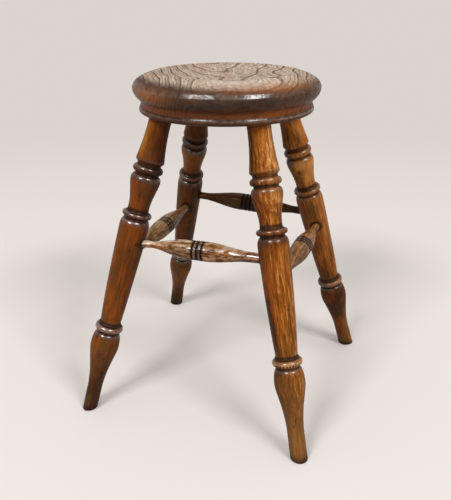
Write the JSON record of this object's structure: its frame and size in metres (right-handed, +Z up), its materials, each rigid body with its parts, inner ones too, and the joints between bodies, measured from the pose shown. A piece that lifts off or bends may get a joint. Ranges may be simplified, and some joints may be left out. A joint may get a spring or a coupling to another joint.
{
  "type": "windsor stool",
  "caption": "Round-topped wooden stool with a thick moulded seat, splayed turned legs and ring-turned stretchers joining them in a box.",
  "frame": {"origin": "on the floor, midway between the outermost feet", "axes": "+Z up, +X to the stool's right and -Y to its front, in line with the stretchers"},
  "size_m": [0.4092, 0.4077, 0.529],
  "materials": {
    "seat": "old elm board, dry and worn greyish on top, dark and waxed on the moulded edge",
    "legs": "old turned hardwood, stained warm brown, waxed, dark in the grooves",
    "stretchers": "old turned hardwood, stained brown, the front one worn paler and glossy by feet"
  },
  "bodies": {
    "root": {"seat": "seat", "leg_front_left": "legs", "leg_front_right": "legs", "leg_back_left": "legs", "leg_back_right": "legs", "stretcher_front": "stretchers", "stretcher_back": "stretchers", "stretcher_left": "stretchers", "stretcher_right": "stretchers"}
  },
  "joints": []
}
